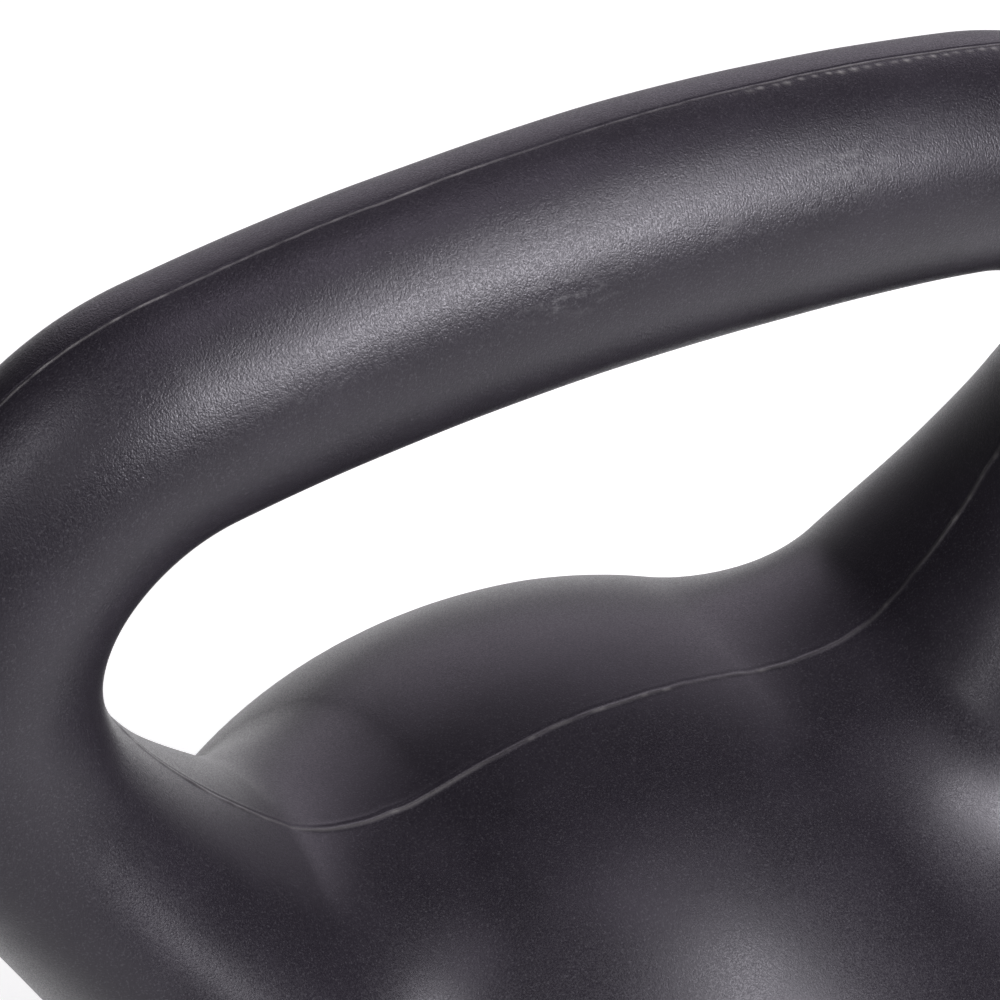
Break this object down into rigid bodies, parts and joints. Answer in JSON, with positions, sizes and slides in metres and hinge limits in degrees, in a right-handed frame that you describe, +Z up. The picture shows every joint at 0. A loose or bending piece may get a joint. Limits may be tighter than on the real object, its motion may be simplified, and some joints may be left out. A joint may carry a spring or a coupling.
{
  "type": "kettlebell",
  "caption": "Plastic-shelled exercise weight: a ball on a flat base under a wide grip arch, filled with cast ballast through a plugged hole below.",
  "frame": {"origin": "centre of the flat base, on the surface that it stands on", "axes": "+Z up, X along the handle, Y through the handle's window; the moulding line lies in the plane Y = 0"},
  "size_m": [0.2184, 0.1806, 0.2603],
  "materials": {
    "shell_plastic": "satin, fine grain",
    "ballast_cement": "rough cast",
    "plug_plastic": "matte"
  },
  "bodies": {
    "root": {"shell": "shell_plastic", "ballast": "ballast_cement", "filler_plug": "plug_plastic"}
  },
  "joints": []
}
